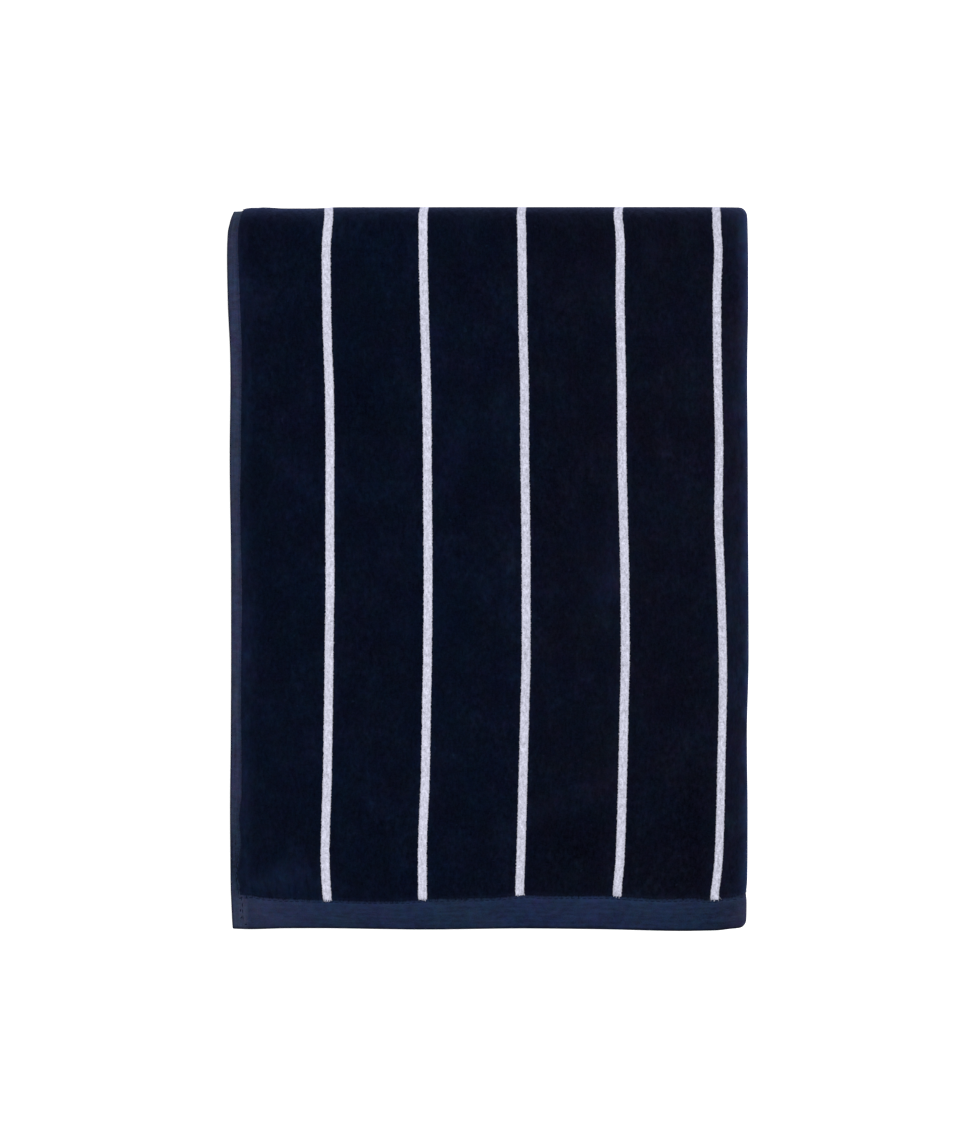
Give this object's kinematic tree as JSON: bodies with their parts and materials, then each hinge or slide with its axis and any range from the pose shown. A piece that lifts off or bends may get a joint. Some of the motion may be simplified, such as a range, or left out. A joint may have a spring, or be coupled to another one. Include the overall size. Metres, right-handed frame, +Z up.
{
  "type": "folded beach towel",
  "caption": "Striped velour beach towel, folded in three across and then in half and half again, lying flat.",
  "frame": {"origin": "middle of the folded towel, on the surface it rests on", "axes": "+X from the visible side hem to the right-hand fold, +Y from the visible end hem to the round bend, +Z up from the surface"},
  "size_m": [0.292, 0.4056, 0.0358],
  "materials": {
    "velour": "sheared cotton velour, very dark navy with thin off-white stripes along its length; hems flat-woven in slate blue"
  },
  "bodies": {
    "root": {"towel": "velour"}
  },
  "joints": []
}
